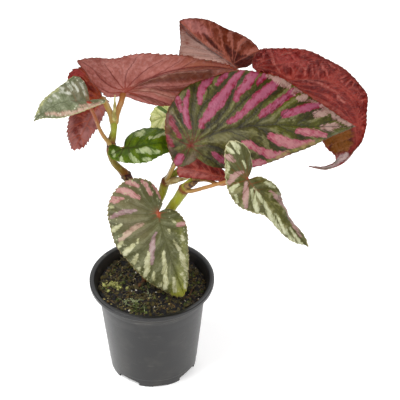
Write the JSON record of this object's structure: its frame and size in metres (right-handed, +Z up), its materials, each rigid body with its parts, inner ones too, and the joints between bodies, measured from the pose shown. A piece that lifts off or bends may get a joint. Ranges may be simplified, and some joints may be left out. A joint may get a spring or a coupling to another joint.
{
  "type": "potted plant",
  "caption": "Potted house plant with lopsided heart-shaped leaves, striped pink, silver and green above and red beneath, in a round tapered nursery pot of soil.",
  "frame": {"origin": "centre of the pot's flat base, on the surface it stands on", "axes": "+Z up through the pot's mouth, -Y towards the viewer's side, +X towards the side the largest leaves reach over"},
  "size_m": [0.3022, 0.1466, 0.3599],
  "materials": {
    "pot_plastic": "satin black, lightly scuffed",
    "soil": "rough moist peat and bark fibre",
    "stem": "semi-gloss juicy green stem with brown joints",
    "petiole": "satin, thin pale hairs",
    "sheath": "dry, papery",
    "leaf_big_striped": "soft satin leaf, striped above and red beneath",
    "leaf_right_small": "soft satin leaf, striped above and red beneath",
    "leaf_front_hanging": "soft satin leaf, striped above and red beneath",
    "leaf_left_silver": "soft satin leaf, striped above and red beneath",
    "leaf_left_back_red": "soft satin leaf, striped above and red beneath",
    "leaf_left_big_red": "soft satin leaf, striped above and red beneath",
    "leaf_right_big_red": "soft satin leaf, striped above and red beneath",
    "leaf_top_red": "soft satin leaf, striped above and red beneath",
    "leaf_mid_green": "soft satin leaf, striped above and red beneath",
    "leaf_back_pale": "soft satin leaf, striped above and red beneath",
    "leaf_under_red": "soft satin leaf, striped above and red beneath"
  },
  "bodies": {
    "root": {"pot": "pot_plastic", "soil": "soil", "stem_left": "stem", "stem_middle": "stem", "stem_right": "stem", "blade_big_striped": "leaf_big_striped", "petiole_big_striped": "petiole", "blade_right_small": "leaf_right_small", "petiole_right_small": "petiole", "blade_front_hanging": "leaf_front_hanging", "petiole_front_hanging": "petiole", "blade_left_silver": "leaf_left_silver", "petiole_left_silver": "petiole", "blade_left_back_red": "leaf_left_back_red", "petiole_left_back_red": "petiole", "blade_left_big_red": "leaf_left_big_red", "petiole_left_big_red": "petiole", "blade_right_big_red": "leaf_right_big_red", "petiole_right_big_red": "petiole", "blade_top_red": "leaf_top_red", "petiole_top_red": "petiole", "blade_mid_green": "leaf_mid_green", "petiole_mid_green": "petiole", "blade_back_pale": "leaf_back_pale", "petiole_back_pale": "petiole", "blade_under_red": "leaf_under_red", "petiole_under_red": "petiole", "sheath_left": "sheath", "sheath_middle": "sheath", "sheath_right": "sheath"}
  },
  "joints": []
}
